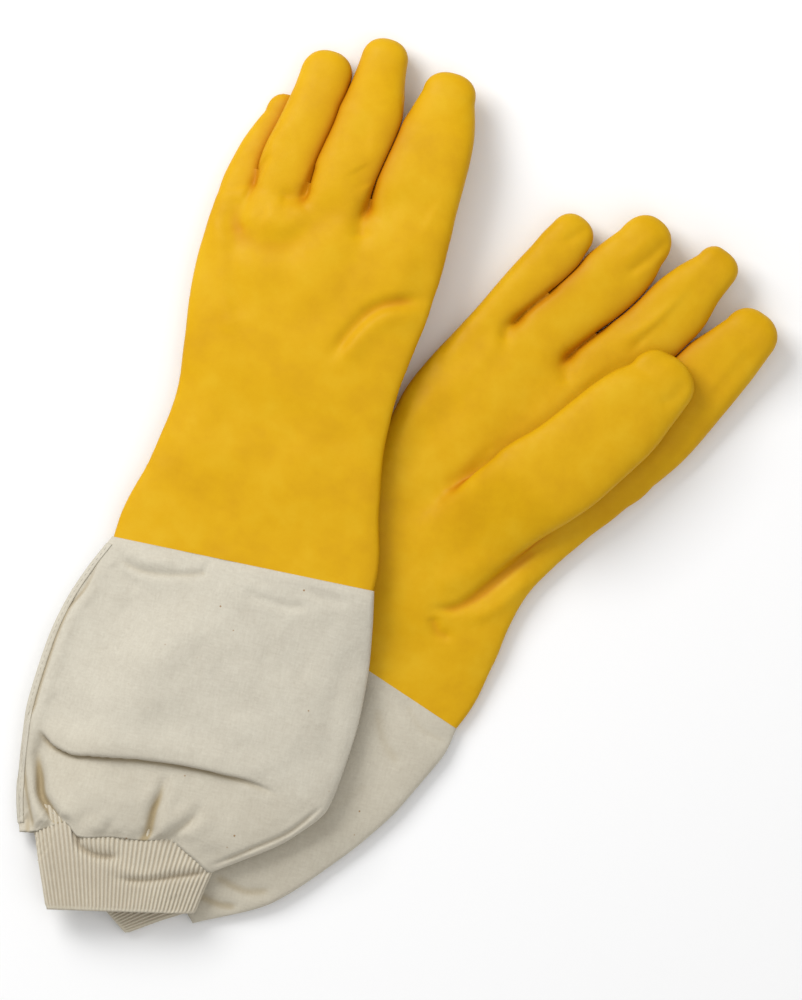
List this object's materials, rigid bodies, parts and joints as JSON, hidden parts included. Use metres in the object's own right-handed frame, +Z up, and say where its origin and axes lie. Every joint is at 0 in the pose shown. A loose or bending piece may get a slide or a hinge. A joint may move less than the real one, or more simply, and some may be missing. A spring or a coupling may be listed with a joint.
{
  "type": "beekeeping gloves",
  "caption": "Pair of long dipped-rubber gauntlet gloves with gathered canvas sleeves and knitted rib cuffs, laid flat with one glove over the other.",
  "frame": {"origin": "under the middle of the pair's bounding box, on the table", "axes": "+Y along the left glove towards its fingertips, +Z up from the table, +X towards the right glove's fingers"},
  "size_m": [0.3286, 0.4838, 0.0359],
  "materials": {
    "yellow_rubber": "satin, faintly mottled dipped latex",
    "cotton_canvas": "unbleached plain-weave cotton canvas",
    "cotton_rib": "knitted cotton rib",
    "cotton_thread": "plain cotton sewing thread"
  },
  "bodies": {
    "right_hand": {"right_hand_shell": "yellow_rubber", "right_seam_turning": "cotton_canvas", "right_seam_stitches": "cotton_thread", "right_canvas_sleeve": "cotton_canvas", "right_side_seam": "cotton_canvas", "right_side_stitches": "cotton_thread", "right_rib_cuff": "cotton_rib", "right_cuff_stitches": "cotton_thread"},
    "right_thumb": {"right_thumb": "yellow_rubber"},
    "right_index": {"right_index_finger": "yellow_rubber"},
    "right_middle": {"right_middle_finger": "yellow_rubber"},
    "right_ring": {"right_ring_finger": "yellow_rubber"},
    "right_little": {"right_little_finger": "yellow_rubber"},
    "left_hand": {"left_hand_shell": "yellow_rubber", "left_seam_turning": "cotton_canvas", "left_seam_stitches": "cotton_thread"},
    "left_thumb": {"left_thumb": "yellow_rubber"},
    "left_index": {"left_index_finger": "yellow_rubber"},
    "left_middle": {"left_middle_finger": "yellow_rubber"},
    "left_ring": {"left_ring_finger": "yellow_rubber"},
    "left_little": {"left_little_finger": "yellow_rubber"},
    "left_sleeve": {"left_canvas_sleeve": "cotton_canvas", "left_side_seam": "cotton_canvas", "left_side_stitches": "cotton_thread", "left_rib_cuff": "cotton_rib", "left_cuff_stitches": "cotton_thread"}
  },
  "joints": [
    {"name": "right_thumb_lift", "type": "hinge", "parent": "right_hand", "child": "right_thumb", "pos_m": [0.07127, 0.04274, 0.0358], "axis": [0.8358, -0.549, 0], "range_deg": [0, 80]},
    {"name": "right_index_lift", "type": "hinge", "parent": "right_hand", "child": "right_index", "pos_m": [0.13761, 0.11994, 0.0175], "axis": [0.8502, -0.5265, 0], "range_deg": [0, 75]},
    {"name": "right_middle_lift", "type": "hinge", "parent": "right_hand", "child": "right_middle", "pos_m": [0.10194, 0.13216, 0.0175], "axis": [0.8451, -0.5346, 0], "range_deg": [0, 75]},
    {"name": "right_ring_lift", "type": "hinge", "parent": "right_hand", "child": "right_ring", "pos_m": [0.07103, 0.14988, 0.0175], "axis": [0.8453, -0.5344, 0], "range_deg": [0, 75]},
    {"name": "right_little_lift", "type": "hinge", "parent": "right_hand", "child": "right_little", "pos_m": [0.0349, 0.14576, 0.017], "axis": [0.8826, -0.4702, 0], "range_deg": [0, 75]},
    {"name": "left_glove_lift", "type": "slide", "parent": "right_hand", "child": "left_hand", "axis": [0, 0, 1], "range_m": [0, 0.15]},
    {"name": "left_thumb_swing", "type": "hinge", "parent": "left_hand", "child": "left_thumb", "pos_m": [-0.02161, 0.09589, 0.01029], "axis": [0, 0, -1], "range_deg": [0, 20]},
    {"name": "left_index_lift", "type": "hinge", "parent": "left_hand", "child": "left_index", "pos_m": [-0.0385, 0.16387, 0.03212], "axis": [0.9845, -0.1345, 0.1122], "range_deg": [0, 70]},
    {"name": "left_middle_lift", "type": "hinge", "parent": "left_hand", "child": "left_middle", "pos_m": [-0.07669, 0.16387, 0.02716], "axis": [0.9918, -0.0599, 0.113], "range_deg": [0, 70]},
    {"name": "left_ring_lift", "type": "hinge", "parent": "left_hand", "child": "left_ring", "pos_m": [-0.10674, 0.16187, 0.02505], "axis": [0.9921, 0.0538, 0.113], "range_deg": [0, 70]},
    {"name": "left_little_swing", "type": "hinge", "parent": "left_hand", "child": "left_little", "pos_m": [-0.13799, 0.15212, 0.00901], "axis": [0, 0, 1], "range_deg": [0, 20]},
    {"name": "left_sleeve_fold", "type": "hinge", "parent": "left_hand", "child": "left_sleeve", "pos_m": [-0.07482, -0.04113, 0.02405], "axis": [-0.9936, 0, -0.1132], "range_deg": [0, 60]}
  ]
}
